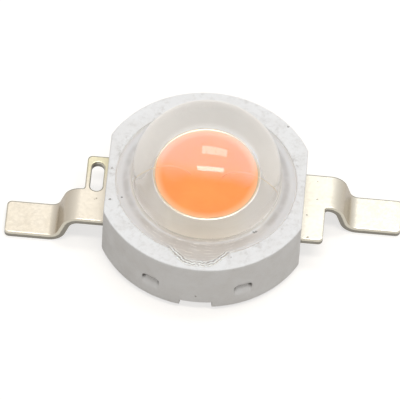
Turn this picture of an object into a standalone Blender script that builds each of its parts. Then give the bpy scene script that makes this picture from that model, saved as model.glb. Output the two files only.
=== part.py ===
"""High-power LED emitter: a white moulded body round a copper slug, with a clear silicone dome and two bent leads.

Metres, +Z up. The origin is on the board under the middle of the slug. +X runs along the leads,
and -Y is the front, where the mould's gate let the silicone in.
"""

from math import atan2, cos, pi, radians, sin, sqrt, tan

import bmesh
import bpy
from mathutils import Matrix, Vector

# Moulded body
BODY_DIAMETER = 0.0080
FLAT_DEPTH = 0.0004
BODY_TOP = 0.0025
BODY_STANDOFF = 0.0002
BODY_EDGE_CHAMFER = 0.00005

# Recess for the dome's flange, and the cavity under it
RIM_AT_FLATS = 0.0003
RECESS_DEPTH = 0.00025
RECESS_CHAMFER = 0.00003
SEAT_WIDTH = 0.00055
CAVITY_TAPER = 0.0003

# Gate that the silicone was poured through, narrower towards its tip at the front
GATE_TIP_WIDTH = 0.0012
GATE_MOUTH_WIDTH = 0.00216
GATE_DEPTH = 0.00035
GATE_LAND = 0.00019
GATE_END_RADIUS = 0.00045
GATE_MOUTH_INSET = 0.0003
GATE_SINK = 0.00003

# Marks that the mould leaves on the side wall, and the vent under the front edge
MARK_ANGLE = radians(25)
MARK_WIDTH = 0.00066
MARK_HEIGHT = 0.00056
MARK_CORNER = 0.00014
MARK_DEPTH = 0.00016
MARK_TOP = 0.00131
VENT_WIDTH = 0.0012
VENT_HEIGHT = 0.0003
VENT_DEPTH = 0.0003

# Leads
LEAD_SPAN = 0.0144
LEAD_THICKNESS = 0.0003
LEAD_TOP = 0.00145
TAB_WIDTH = 0.0029
TAB_REACH = 0.0008
TAB_CORNER = 0.00018
STRIP_WIDTH = 0.0014
CROTCH_RADIUS = 0.0001
TIP_CORNER = 0.00018
BEND_INSIDE_RADIUS = 0.00035
BEND_ANGLE = radians(72)
LEAD_EDGE_ROUND = 0.00002

# Part of each lead that is held in the body and shows on the cavity's floor
SHOULDER_DEPTH = 0.0004
WAIST_LENGTH = 0.00035
WAIST_WIDTH = 0.0020
PAD_WIDTH = 0.0026
PAD_TO_CUP = 0.00035

# Slot that marks the anode
SLOT_WIDTH = 0.00046
SLOT_LENGTH = 0.0013
SLOT_TO_FLAT = 0.00016
SLOT_TO_EDGE = 0.00026

# Copper slug with the reflector cup on top
SLUG_PAD_DIAMETER = 0.0056
SLUG_PAD_HEIGHT = 0.0005
SLUG_EDGE_CHAMFER = 0.00006
GROOVE_DIAMETER = 0.0049
GROOVE_HEIGHT = 0.00015
SLUG_SHOULDER_DIAMETER = 0.0053
SHOULDER_UNDER_LEAD = 0.00025
CUP_RIM_OVER_TOP = 0.00014
CUP_DEPTH = 0.00065
CUP_MOUTH_DIAMETER = 0.00272
CUP_FLOOR_DIAMETER = 0.0019
CUP_RIM_WIDTH = 0.00008

# Chip, the silver glue under it and the gold wires
DIE_SIDE = 0.0010
DIE_THICKNESS = 0.00015
GLUE_MARGIN = 0.00005
GLUE_THICKNESS = 0.00003
WIRE_DIAMETER = 0.00003
WIRE_BALL_DIAMETER = 0.00008
WIRE_BALL_HEIGHT = 0.000025
WIRE_START = 0.0003
WIRE_LANDING = 0.0001
WIRE_LOOP_HEIGHT = 0.00075

# Phosphor in the cup, and the clear dome
PHOSPHOR_CROWN = 0.00004
FLANGE_WIDTH = 0.0006
DOME_SKIRT_HEIGHT = 0.00068
DOME_HEIGHT = 0.00288
DOME_FILLET = 0.00015

# Gap left between two pieces that meet
CLEARANCE = 0.00001

# Fineness of the round shapes
TURNED_STEPS = 72
CORNER_STEPS = 5
BEND_STEPS = 8
DOME_STEPS = 14
WIRE_SIDES = 8
WIRE_STEPS = 16
MERGE_DISTANCE = 1e-7
CUT_THROUGH = 0.0005
SMOOTH_ANGLE = radians(30)
EDGE_ANGLE = radians(40)
FULLEST_ROUND_RATIO = 0.98

# Sizes worked out from those above
body_radius = BODY_DIAMETER / 2
flat_x = body_radius - FLAT_DEPTH
recess_radius = flat_x - RIM_AT_FLATS
seat_z = BODY_TOP - RECESS_DEPTH
cavity_top_radius = recess_radius - SEAT_WIDTH
cavity_floor_radius = cavity_top_radius - CAVITY_TAPER
floor_z = LEAD_TOP
lead_bottom = LEAD_TOP - LEAD_THICKNESS
cup_rim_z = BODY_TOP + CUP_RIM_OVER_TOP
cup_floor_z = cup_rim_z - CUP_DEPTH
cup_mouth_radius = CUP_MOUTH_DIAMETER / 2
cup_outer_radius = cup_mouth_radius + CUP_RIM_WIDTH
pad_radius = cup_outer_radius + PAD_TO_CUP
slug_shoulder_z = lead_bottom - SHOULDER_UNDER_LEAD
glue_bottom = cup_floor_z + CLEARANCE
die_bottom = glue_bottom + GLUE_THICKNESS + CLEARANCE
die_top = die_bottom + DIE_THICKNESS
dome_radius = recess_radius - FLANGE_WIDTH
dome_top = BODY_TOP + DOME_HEIGHT
dome_skirt_top = BODY_TOP + DOME_SKIRT_HEIGHT


def clear_scene():
    for obj in list(bpy.data.objects):
        bpy.data.objects.remove(obj, do_unlink=True)


def make_material(name, colour, roughness, metallic=0.0, transmission=0.0, ior=1.5):
    material = bpy.data.materials.new(name)
    material.use_nodes = True
    shader = material.node_tree.nodes["Principled BSDF"]
    shader.inputs["Base Color"].default_value = (*colour, 1.0)
    shader.inputs["Roughness"].default_value = roughness
    shader.inputs["Metallic"].default_value = metallic
    shader.inputs["Transmission Weight"].default_value = transmission
    shader.inputs["IOR"].default_value = ior
    return material


def finish_object(name, bm, material=None):
    """Turns a bmesh into an object with its faces pointing out and its round sides shaded smooth."""
    bmesh.ops.recalc_face_normals(bm, faces=bm.faces)
    mesh = bpy.data.meshes.new(name)
    bm.to_mesh(mesh)
    bm.free()
    mesh.shade_smooth()
    mesh.set_sharp_from_angle(angle=SMOOTH_ANGLE)
    obj = bpy.data.objects.new(name, mesh)
    bpy.context.scene.collection.objects.link(obj)
    if material:
        mesh.materials.append(material)
    return obj


def make_cutter(obj):
    obj.hide_render = True
    obj.display_type = "WIRE"
    return obj


def boolean(target, tool, operation="DIFFERENCE"):
    modifier = target.modifiers.new(tool.name, "BOOLEAN")
    modifier.operation = operation
    modifier.solver = "EXACT"
    modifier.object = make_cutter(tool)


def rounded(corners):
    """Points of a closed outline. Each corner is (x, y, radius), counterclockwise; a radius makes an arc."""
    points = []
    for i, (x, y, radius) in enumerate(corners):
        corner = Vector((x, y))
        if radius <= 0:
            points.append(corner)
            continue
        before = (Vector(corners[i - 1][:2]) - corner).normalized()
        after = (Vector(corners[(i + 1) % len(corners)][:2]) - corner).normalized()
        half = before.angle(after) / 2
        centre = corner + (before + after).normalized() * radius / sin(half)
        start = corner + before * radius / tan(half) - centre
        end = corner + after * radius / tan(half) - centre
        turn = atan2(start.x * end.y - start.y * end.x, start.dot(end))
        for step in range(CORNER_STEPS + 1):
            points.append(centre + Matrix.Rotation(turn * step / CORNER_STEPS, 2) @ start)
    return points


def grown(corners, by):
    """The same corners with every side moved outwards by this much, or inwards if it is negative."""
    moved = []
    for i, (x, y, radius) in enumerate(corners):
        corner = Vector((x, y))
        along_in = (corner - Vector(corners[i - 1][:2])).normalized()
        along_out = (Vector(corners[(i + 1) % len(corners)][:2]) - corner).normalized()
        normal_in = Vector((along_in.y, -along_in.x))
        normal_out = Vector((along_out.y, -along_out.x))
        corner += (normal_in + normal_out) * by / (1 + normal_in.dot(normal_out))
        convex = along_in.x * along_out.y - along_in.y * along_out.x > 0
        if radius > 0:
            radius += by if convex else -by
        moved.append((corner.x, corner.y, radius))
    return moved


def make_prism(name, outline, bottom, top, material=None):
    """An upright solid with this plan outline between two heights."""
    bm = bmesh.new()
    face = bm.faces.new([bm.verts.new((x, y, bottom)) for x, y in outline])
    extruded = bmesh.ops.extrude_face_region(bm, geom=[face])
    raised = [item for item in extruded["geom"] if isinstance(item, bmesh.types.BMVert)]
    bmesh.ops.translate(bm, verts=raised, vec=(0, 0, top - bottom))
    return finish_object(name, bm, material)


def make_turned(name, profile, material=None):
    """A solid turned about Z from a profile of (radius, height) points that starts and ends on the axis."""
    bm = bmesh.new()
    verts = [bm.verts.new((max(radius, 0), 0, height)) for radius, height in profile]
    edges = [bm.edges.new(pair) for pair in zip(verts, verts[1:])]
    bmesh.ops.spin(
        bm, geom=verts + edges, axis=(0, 0, 1), cent=(0, 0, 0), angle=2 * pi, steps=TURNED_STEPS, use_merge=True
    )
    bmesh.ops.remove_doubles(bm, verts=bm.verts, dist=MERGE_DISTANCE)
    return finish_object(name, bm, material)


def arc(centre, radius, start, end, steps):
    """Points (radius, height) on an arc from one angle to another."""
    angles = [start + (end - start) * step / steps for step in range(steps + 1)]
    return [(centre[0] + radius * cos(angle), centre[1] + radius * sin(angle)) for angle in angles]


# Body: a round block with two flats, made hollow from above and hugging what is moulded into it


def body_outline():
    """A circle with its +X and -X sides cut off flat."""
    corner = atan2(sqrt(body_radius**2 - flat_x**2), flat_x)
    steps = TURNED_STEPS // 2
    points = []
    for middle in (pi / 2, -pi / 2):
        spread = pi / 2 - corner
        points += arc((0, 0), body_radius, middle - spread, middle + spread, steps)
    return points


def slug_corners(cup=True):
    """Half section of the slug, or of the room that it takes in the body."""
    pad_radius_slug = SLUG_PAD_DIAMETER / 2
    pad_top = SLUG_PAD_HEIGHT
    shoulder_bottom = pad_top + GROOVE_HEIGHT
    outside = [
        (0, 0, 0),
        (pad_radius_slug - SLUG_EDGE_CHAMFER, 0, 0),
        (pad_radius_slug, SLUG_EDGE_CHAMFER, 0),
        (pad_radius_slug, pad_top, 0),
        (GROOVE_DIAMETER / 2, pad_top, 0),
        (GROOVE_DIAMETER / 2, shoulder_bottom, 0),
        (SLUG_SHOULDER_DIAMETER / 2, shoulder_bottom, 0),
        (SLUG_SHOULDER_DIAMETER / 2, slug_shoulder_z, 0),
        (cup_outer_radius, slug_shoulder_z, 0),
        (cup_outer_radius, cup_rim_z, 0),
    ]
    inside = [
        (cup_mouth_radius, cup_rim_z, 0),
        (CUP_FLOOR_DIAMETER / 2, cup_floor_z, 0),
        (0, cup_floor_z, 0),
    ]
    return outside + (inside if cup else [(0, cup_rim_z, 0)])


def gate_corners():
    """The gate's plan: a tongue that narrows from inside the recess to its round end at the front."""
    mouth, tip = GATE_MOUTH_WIDTH / 2, GATE_TIP_WIDTH / 2
    mouth_y = -(recess_radius - GATE_MOUTH_INSET)
    tip_y = -(body_radius - GATE_LAND)
    end_radius = min(GATE_END_RADIUS, min(tip, mouth_y - tip_y) * FULLEST_ROUND_RATIO)
    return [(-mouth, mouth_y, 0), (-tip, tip_y, end_radius), (tip, tip_y, end_radius), (mouth, mouth_y, 0)]


def make_mark_cutter(name, angle):
    """A small wedge with rounded upper corners, set into the round side at this angle from +X.

    Its upper end goes in by the mark's depth and its lower end by nothing.
    """
    half = MARK_WIDTH / 2
    outline = rounded(
        [
            (-half, MARK_TOP - MARK_HEIGHT, 0),
            (half, MARK_TOP - MARK_HEIGHT, 0),
            (half, MARK_TOP, MARK_CORNER),
            (-half, MARK_TOP, MARK_CORNER),
        ]
    )
    cutter = make_prism(name, outline, body_radius - MARK_DEPTH, body_radius + CUT_THROUGH)
    for vert in cutter.data.vertices:
        if vert.co.z < body_radius:
            vert.co.z += MARK_DEPTH * (MARK_TOP - vert.co.y) / MARK_HEIGHT
    stand_up = Matrix(((0, 0, 1, 0), (1, 0, 0, 0), (0, 1, 0, 0), (0, 0, 0, 1)))
    cutter.data.transform(Matrix.Rotation(angle, 4, "Z") @ stand_up)
    return cutter


def make_housing(material):
    housing = make_prism("housing", body_outline(), BODY_STANDOFF, BODY_TOP, material)
    chamfer = housing.modifiers.new("edge chamfer", "BEVEL")
    chamfer.width = BODY_EDGE_CHAMFER
    chamfer.segments = 1
    chamfer.limit_method = "ANGLE"
    chamfer.angle_limit = EDGE_ANGLE

    above = BODY_TOP + CUT_THROUGH
    cavity = [
        (0, floor_z),
        (cavity_floor_radius, floor_z),
        (cavity_top_radius, seat_z),
        (recess_radius, seat_z),
        (recess_radius, BODY_TOP - RECESS_CHAMFER),
        (recess_radius + RECESS_CHAMFER + CUT_THROUGH, above),
        (0, above),
    ]
    boolean(housing, make_turned("cavity cutter", cavity))
    gate = rounded(gate_corners())
    boolean(housing, make_prism("gate cutter", gate, BODY_TOP - GATE_DEPTH, above))

    room = grown(slug_corners(cup=False), CLEARANCE)
    boolean(housing, make_turned("slug room", [corner[:2] for corner in room]))
    for name, turn in (("anode", pi), ("cathode", 0)):
        outline = rounded(grown(lead_corners(), CLEARANCE))
        lead_room = make_prism(f"{name} lead room", outline, lead_bottom - CLEARANCE, LEAD_TOP + CLEARANCE)
        lead_room.data.transform(Matrix.Rotation(turn, 4, "Z"))
        boolean(housing, lead_room)

    for front in (-pi / 2, pi / 2):
        for side in (-1, 1):
            angle = front + side * MARK_ANGLE
            boolean(housing, make_mark_cutter(f"mark cutter {round(angle, 2)}", angle))
    half = VENT_WIDTH / 2
    vent_y = -(body_radius - VENT_DEPTH)
    vent = [(-half, -body_radius - CUT_THROUGH), (half, -body_radius - CUT_THROUGH), (half, vent_y), (-half, vent_y)]
    boolean(housing, make_prism("vent cutter", vent, 0, BODY_STANDOFF + VENT_HEIGHT))
    return housing


# Leads: a flat blank, cut out and then bent down to the board


def bend_lengths():
    """The bend's middle radius, the length of each arc and of the straight stretch between the two."""
    radius = BEND_INSIDE_RADIUS + LEAD_THICKNESS / 2
    drop = LEAD_TOP - LEAD_THICKNESS
    straight = (drop - 2 * radius * (1 - cos(BEND_ANGLE))) / sin(BEND_ANGLE)
    return radius, radius * BEND_ANGLE, straight


def lead_corners():
    """Plan of the flat blank of the lead towards +X, before its foot is bent down."""
    radius, arc_length, straight = bend_lengths()
    run = 2 * radius * sin(BEND_ANGLE) + straight * cos(BEND_ANGLE)
    tip = LEAD_SPAN / 2 + 2 * arc_length + straight - run
    tab_edge = flat_x + TAB_REACH
    shoulder = flat_x - SHOULDER_DEPTH
    pad_end = shoulder - WAIST_LENGTH
    tab, waist, pad = TAB_WIDTH / 2, WAIST_WIDTH / 2, PAD_WIDTH / 2
    strip_edge = tab - STRIP_WIDTH
    spread = atan2(pad, sqrt(pad_radius**2 - pad**2))
    round_the_cup = [(x, y, 0) for x, y in arc((0, 0), pad_radius, spread, -spread, 2 * CORNER_STEPS)]
    return round_the_cup + [
        (pad_end, -pad, 0),
        (pad_end, -waist, 0),
        (shoulder, -waist, 0),
        (shoulder, -tab, 0),
        (tab_edge, -tab, TAB_CORNER),
        (tab_edge, strip_edge, CROTCH_RADIUS),
        (tip, strip_edge, TIP_CORNER),
        (tip, tab, TIP_CORNER),
        (shoulder, tab, 0),
        (shoulder, waist, 0),
        (pad_end, waist, 0),
        (pad_end, pad, 0),
    ]


def bent(along, above_middle):
    """Where a point of the flat blank lands: its X and Z once the foot is bent down and level again."""
    radius, arc_length, straight = bend_lengths()
    start = flat_x + TAB_REACH + CROTCH_RADIUS
    past = along - start
    tab_middle = LEAD_TOP - LEAD_THICKNESS / 2
    foot_middle = LEAD_THICKNESS / 2
    foot_start = start + 2 * radius * sin(BEND_ANGLE) + straight * cos(BEND_ANGLE)
    if past <= 0:
        return along, tab_middle + above_middle
    if past <= arc_length:
        angle = past / radius
        outer = radius + above_middle
        return start + outer * sin(angle), tab_middle - radius + outer * cos(angle)
    if past <= arc_length + straight:
        down = past - arc_length
        x = start + (radius + above_middle) * sin(BEND_ANGLE) + down * cos(BEND_ANGLE)
        z = tab_middle - radius + (radius + above_middle) * cos(BEND_ANGLE) - down * sin(BEND_ANGLE)
        return x, z
    if past <= 2 * arc_length + straight:
        angle = BEND_ANGLE - (past - arc_length - straight) / radius
        inner = radius - above_middle
        return foot_start - inner * sin(angle), foot_middle + radius - inner * cos(angle)
    return foot_start + past - 2 * arc_length - straight, foot_middle + above_middle


def make_lead(name, turn, material):
    bm = bmesh.new()
    face = bm.faces.new([bm.verts.new((x, y, -LEAD_THICKNESS / 2)) for x, y in rounded(lead_corners())])
    extruded = bmesh.ops.extrude_face_region(bm, geom=[face])
    raised = [item for item in extruded["geom"] if isinstance(item, bmesh.types.BMVert)]
    bmesh.ops.translate(bm, verts=raised, vec=(0, 0, LEAD_THICKNESS))

    arc_length, straight = bend_lengths()[1:]
    start = flat_x + TAB_REACH + CROTCH_RADIUS
    for arc_start in (start, start + arc_length + straight):
        for step in range(BEND_STEPS + 1):
            across = (arc_start + arc_length * step / BEND_STEPS, 0, 0)
            everything = bm.verts[:] + bm.edges[:] + bm.faces[:]
            bmesh.ops.bisect_plane(bm, geom=everything, dist=MERGE_DISTANCE, plane_co=across, plane_no=(1, 0, 0))
    for vert in bm.verts:
        vert.co.x, vert.co.z = bent(vert.co.x, vert.co.z)
    bmesh.ops.rotate(bm, verts=bm.verts, cent=(0, 0, 0), matrix=Matrix.Rotation(turn, 3, "Z"))
    return finish_object(name, bm, material)


def round_edges(lead):
    edges = lead.modifiers.new("stamped edges", "BEVEL")
    edges.width = LEAD_EDGE_ROUND
    edges.segments = 1
    edges.limit_method = "ANGLE"
    edges.angle_limit = EDGE_ANGLE


def cut_polarity_slot(lead):
    """The slot lies along the body's flat, at the back of the anode's tab, which points towards -X."""
    outer_x = -(flat_x + SLOT_TO_FLAT)
    inner_x = outer_x - SLOT_WIDTH
    back_y = TAB_WIDTH / 2 - SLOT_TO_EDGE
    front_y = back_y - SLOT_LENGTH
    end_radius = SLOT_WIDTH / 2 * FULLEST_ROUND_RATIO
    corners = [(inner_x, front_y), (outer_x, front_y), (outer_x, back_y), (inner_x, back_y)]
    outline = rounded([(x, y, end_radius) for x, y in corners])
    boolean(lead, make_prism("slot cutter", outline, lead_bottom - CUT_THROUGH, LEAD_TOP + CUT_THROUGH))


# Chip, wires and phosphor in the cup


def square(side):
    return [(-side / 2, -side / 2), (side / 2, -side / 2), (side / 2, side / 2), (-side / 2, side / 2)]


def wire_stations(grow):
    """Points (x, z, radius) along a wire: its ball on the chip, its loop over the cup's rim, its end on the lead."""
    ball = WIRE_BALL_DIAMETER / 2 + grow
    thin = WIRE_DIAMETER / 2 + grow
    ball_bottom = die_top + CLEARANCE
    ball_top = ball_bottom + WIRE_BALL_HEIGHT
    pad_x = (pad_radius + cavity_floor_radius) / 2
    pad_z = LEAD_TOP + CLEARANCE + WIRE_DIAMETER / 2
    loop_z = cup_rim_z + WIRE_LOOP_HEIGHT
    first = Vector((WIRE_START, 0, ball_top + thin))
    last = Vector((pad_x, 0, pad_z))
    out_of_ball = Vector((WIRE_START, 0, loop_z))
    into_pad = Vector((pad_x - WIRE_LANDING, 0, loop_z))
    stations = [(WIRE_START, ball_bottom - grow, ball), (WIRE_START, ball_top + grow, ball)]
    for step in range(WIRE_STEPS + 1):
        t = step / WIRE_STEPS
        point = (1 - t) ** 3 * first + 3 * t * (1 - t) ** 2 * out_of_ball
        point += 3 * t**2 * (1 - t) * into_pad + t**3 * last
        stations.append((point.x, point.z, thin))
    return stations


def make_wire(name, side, grow=0.0, material=None):
    """A round tube along the wire's path, on the +X or the -X side."""
    stations = wire_stations(grow)
    bm = bmesh.new()
    rings = []
    for i, (x, z, radius) in enumerate(stations):
        before, after = stations[max(i - 1, 0)], stations[min(i + 1, len(stations) - 1)]
        in_ball = i < 2
        along = Vector((0, 0, 1)) if in_ball else Vector((after[0] - before[0], 0, after[1] - before[1])).normalized()
        across = Vector((along.z, 0, -along.x))
        ring = []
        for step in range(WIRE_SIDES):
            angle = 2 * pi * step / WIRE_SIDES
            point = Vector((x, 0, z)) + radius * (cos(angle) * across + sin(angle) * Vector((0, 1, 0)))
            ring.append(bm.verts.new((side * point.x, side * point.y, point.z)))
        rings.append(ring)
    for lower, upper in zip(rings, rings[1:]):
        for step in range(WIRE_SIDES):
            after = (step + 1) % WIRE_SIDES
            bm.faces.new((lower[step], lower[after], upper[after], upper[step]))
    bm.faces.new(rings[0])
    bm.faces.new(rings[-1])
    return finish_object(name, bm, material)


def cut_wire_tunnels(obj, label):
    for name, side in (("anode", -1), ("cathode", 1)):
        boolean(obj, make_wire(f"{label} {name} wire tunnel", side, CLEARANCE))


def crown(radius, lift):
    """Points from the axis out to this radius on the phosphor's slightly domed top."""
    ball_radius = (cup_mouth_radius**2 + PHOSPHOR_CROWN**2) / (2 * PHOSPHOR_CROWN)
    ball_centre = cup_rim_z + PHOSPHOR_CROWN - ball_radius
    radii = [radius * step / CORNER_STEPS for step in range(CORNER_STEPS + 1)]
    return [(r, ball_centre + sqrt(ball_radius**2 - r**2) + lift) for r in radii]


def make_phosphor(material):
    mouth = cup_mouth_radius - CLEARANCE
    floor = CUP_FLOOR_DIAMETER / 2 - CLEARANCE
    profile = [(0, cup_floor_z + CLEARANCE), (floor, cup_floor_z + CLEARANCE)]
    profile += crown(mouth, 0)[::-1]
    phosphor = make_turned("phosphor_fill", profile, material)
    below = cup_floor_z - CUT_THROUGH
    glue_room = square(DIE_SIDE + 2 * GLUE_MARGIN + 2 * CLEARANCE)
    boolean(phosphor, make_prism("glue room", glue_room, below, die_bottom))
    die_room = square(DIE_SIDE + 2 * CLEARANCE)
    boolean(phosphor, make_prism("die room", die_room, below, die_top + CLEARANCE))
    cut_wire_tunnels(phosphor, "phosphor")
    return phosphor


# Dome: one clear casting that fills the cavity and the recess and ends in a skirt with a flattened ball on top


def make_lens(material):
    flange = recess_radius - CLEARANCE
    profile = crown(cup_mouth_radius, CLEARANCE)
    profile += [
        (cup_outer_radius + CLEARANCE, cup_rim_z + CLEARANCE),
        (cup_outer_radius + CLEARANCE, floor_z + CLEARANCE),
        (cavity_floor_radius - CLEARANCE, floor_z + CLEARANCE),
        (cavity_top_radius - CLEARANCE, seat_z + CLEARANCE),
        (flange, seat_z + CLEARANCE),
        (flange, BODY_TOP - RECESS_CHAMFER),
        (flange - RECESS_CHAMFER, BODY_TOP),
    ]
    profile += arc((dome_radius + DOME_FILLET, BODY_TOP + DOME_FILLET), DOME_FILLET, -pi / 2, -pi, CORNER_STEPS)
    cap_height = dome_top - dome_skirt_top
    for across, up in arc((0, 0), 1, 0, pi / 2, DOME_STEPS):
        profile.append((dome_radius * across, dome_skirt_top + cap_height * up))
    lens = make_turned("silicone_lens", profile, material)
    tongue = rounded(grown(gate_corners(), -CLEARANCE))
    tongue_bottom = BODY_TOP - GATE_DEPTH + CLEARANCE
    boolean(lens, make_prism("gate tongue", tongue, tongue_bottom, BODY_TOP - GATE_SINK), "UNION")
    cut_wire_tunnels(lens, "lens")
    return lens


def main():
    clear_scene()
    white_ppa = make_material("white polyphthalamide", (0.80, 0.80, 0.78), 0.55)
    silver_plate = make_material("silver-plated copper", (0.90, 0.87, 0.78), 0.28, metallic=1.0)
    clear_silicone = make_material("clear silicone", (0.97, 0.96, 0.94), 0.08, transmission=1.0, ior=1.41)
    phosphor = make_material("phosphor in silicone", (0.96, 0.38, 0.11), 0.45)
    chip = make_material("gallium nitride on sapphire", (0.55, 0.60, 0.62), 0.15)
    glue = make_material("silver epoxy", (0.55, 0.54, 0.52), 0.5, metallic=0.6)
    gold = make_material("gold", (1.0, 0.72, 0.28), 0.2, metallic=1.0)

    make_housing(white_ppa)
    make_turned("heat_slug", [corner[:2] for corner in slug_corners()], silver_plate)
    anode_lead = make_lead("anode_lead", pi, silver_plate)
    cut_polarity_slot(anode_lead)
    cathode_lead = make_lead("cathode_lead", 0, silver_plate)
    for lead in (anode_lead, cathode_lead):
        round_edges(lead)

    make_prism("die_attach", square(DIE_SIDE + 2 * GLUE_MARGIN), glue_bottom, glue_bottom + GLUE_THICKNESS, glue)
    make_prism("led_die", square(DIE_SIDE), die_bottom, die_top, chip)
    make_wire("anode_bond_wire", -1, material=gold)
    make_wire("cathode_bond_wire", 1, material=gold)
    make_phosphor(phosphor)
    make_lens(clear_silicone)


main()
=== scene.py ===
# %% [markdown]
# # A high-power LED emitter
# This is the bare light source that gets soldered to a star-shaped board: a white moulded body, a clear
# silicone dome over an orange phosphor, and a bent silver-plated lead on each side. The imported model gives
# every piece its place. This script gives each piece a fine surface and its finish, and then sets up the
# light and the camera.

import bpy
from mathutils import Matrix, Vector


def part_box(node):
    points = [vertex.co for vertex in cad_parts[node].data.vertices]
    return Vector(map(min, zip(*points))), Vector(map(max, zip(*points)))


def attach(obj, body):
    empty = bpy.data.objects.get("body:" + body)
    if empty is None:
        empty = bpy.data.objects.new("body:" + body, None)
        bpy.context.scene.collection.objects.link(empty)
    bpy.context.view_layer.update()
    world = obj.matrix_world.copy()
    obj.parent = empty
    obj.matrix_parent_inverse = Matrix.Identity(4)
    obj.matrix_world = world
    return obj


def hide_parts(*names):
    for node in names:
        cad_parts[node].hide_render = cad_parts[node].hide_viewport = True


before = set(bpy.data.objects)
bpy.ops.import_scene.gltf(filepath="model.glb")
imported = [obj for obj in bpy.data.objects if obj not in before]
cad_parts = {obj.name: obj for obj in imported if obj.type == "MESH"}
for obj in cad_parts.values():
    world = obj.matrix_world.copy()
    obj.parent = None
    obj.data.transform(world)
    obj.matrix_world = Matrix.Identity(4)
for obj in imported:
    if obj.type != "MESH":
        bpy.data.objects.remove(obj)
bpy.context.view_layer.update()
print("nodes:", ", ".join(sorted(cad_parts)))

# %% [markdown]
# The part is only 14 mm long, so all sizes below are in millimetres, and they turn into metres only when a
# mesh, a lamp or the camera is placed. What the frame can tell is read from it. The others are the sizes that
# the solids have.

import bmesh
import bpy
import numpy as np
from mathutils import Matrix

MM = 0.001


def box_mm(node):
    """Lowest and highest corner of a CAD node, in millimetres."""
    low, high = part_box(node)
    return np.array(low) / MM, np.array(high) / MM


CLEARANCE = 0.01
(_, _, body_bottom), (flat_x, body_radius, body_top) = box_mm("housing")
(_, lens_front, _), (lens_side, _, dome_top) = box_mm("silicone_lens")
recess_radius = lens_side + CLEARANCE
gate_tip = -lens_front + CLEARANCE
slug_radius, _, cup_rim = box_mm("heat_slug")[1]
lead_tip, tab_half, lead_top = box_mm("cathode_lead")[1]
die_top = box_mm("led_die")[1][2]
CUP_MOUTH_RADIUS, CUP_OUTER_RADIUS, CUP_FLOOR_RADIUS, CUP_DEPTH = 1.36, 1.44, 0.95, 0.65
SLUG_PAD_TOP, SLUG_GROOVE_RADIUS = 0.5, 2.45
SLUG_SHOULDER_RADIUS, SLUG_SHOULDER_BOTTOM, SLUG_SHOULDER_TOP = 2.66, 0.65, 0.91
print(f"body {2 * body_radius:.2f} mm, recess {2 * recess_radius:.2f} mm, dome top {dome_top:.2f} mm")

# %% [markdown]
# Blender keeps a mesh as flat lists: its points, the corners of its faces, and where each face starts. Each
# list is filled at once from a numpy array, which is much quicker than adding points one by one. A number
# that a finish needs later, such as how much painted shade a point gets, stays with the points as an
# attribute.

# %% Meshes from arrays
SHARP_DEGREES = 40


def put_mesh(name, points, faces):
    """Makes an object from points in millimetres and a list of integer arrays of faces, shaded smooth."""
    mesh = bpy.data.meshes.new(name)
    loops = np.concatenate([face.ravel() for face in faces]).astype(np.int32)
    sizes = np.concatenate([np.full(len(face), face.shape[1]) for face in faces])
    starts = np.concatenate([[0], np.cumsum(sizes)[:-1]]).astype(np.int32)
    mesh.vertices.add(len(points))
    mesh.vertices.foreach_set("co", (np.asarray(points) * MM).astype(np.float32).ravel())
    mesh.loops.add(len(loops))
    mesh.loops.foreach_set("vertex_index", loops)
    mesh.polygons.add(len(sizes))
    mesh.polygons.foreach_set("loop_start", starts)
    mesh.update(calc_edges=True)
    mesh.validate()
    mesh.shade_smooth()
    mesh.set_sharp_from_angle(angle=np.radians(SHARP_DEGREES))
    obj = bpy.data.objects.new(name, mesh)
    bpy.context.scene.collection.objects.link(obj)
    print(f"{name}: {len(mesh.vertices)} points, {len(mesh.polygons)} faces")
    return obj


def points_of(obj):
    """The points of an object's mesh as rows of x, y and z, in the mesh's own unit."""
    flat = np.empty(3 * len(obj.data.vertices), np.float32)
    obj.data.vertices.foreach_get("co", flat)
    return flat.reshape(-1, 3).astype(float)


def put_attribute(obj, name, values):
    """Gives each point of an object a number that its material can read."""
    attribute = obj.data.attributes.new(name, "FLOAT", "POINT")
    attribute.data.foreach_set("value", np.asarray(values).astype(np.float32).ravel())


# %% [markdown]
# Every new surface here is a grid: one direction runs round the part, the other along a profile. numpy works
# out all its points at once, and a few small functions turn such a grid into a mesh. A grid that ends in a
# point, on the axis or at a wire's end, is closed with a fan of triangles, so that no seam or hole is left.

# %% Grids and profiles


def carried_round(theta, stations):
    """Points of a profile carried round the axis.

    A station is a radius and a height, each a number or an array over the angles. A point is
    (radius times cosine, radius times sine, height).
    """
    radius = np.array([np.broadcast_to(station[0], theta.shape) for station in stations])
    height = np.array([np.broadcast_to(station[1], theta.shape) for station in stations])
    return np.stack([radius * np.cos(theta), radius * np.sin(theta), height], axis=-1)


def grid_quads(rows, columns, closed_rows=False):
    """Quads between neighbours in a grid that is closed along its columns, and maybe along its rows."""
    row = np.arange(rows if closed_rows else rows - 1)[:, None]
    column = np.arange(columns)[None, :]
    above, beside = (row + 1) % rows * columns, (column + 1) % columns
    quads = [row * columns + column, row * columns + beside, above + beside, above + column]
    return np.stack(quads, axis=-1).reshape(-1, 4)


def capped_grid(name, rings, poles):
    """A closed piece of rings of points, with a fan of triangles from a pole to the ring at each end."""
    rows, columns = rings.shape[:2]
    column = np.arange(columns)
    beside = (column + 1) % columns
    last = (rows - 1) * columns
    first_fan = np.stack([np.full(columns, rows * columns), beside, column], axis=-1)
    last_fan = np.stack([np.full(columns, rows * columns + 1), last + column, last + beside], axis=-1)
    points = np.concatenate([rings.reshape(-1, 3), poles])
    return put_mesh(name, points, [grid_quads(rows, columns), first_fan, last_fan])


def turned_piece(name, theta, stations):
    """A closed piece. Its profile runs from the axis below, round the outside, to the axis above."""
    poles = [[0, 0, stations[0][1]], [0, 0, stations[-1][1]]]
    return capped_grid(name, carried_round(theta, stations[1:-1]), poles)


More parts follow.
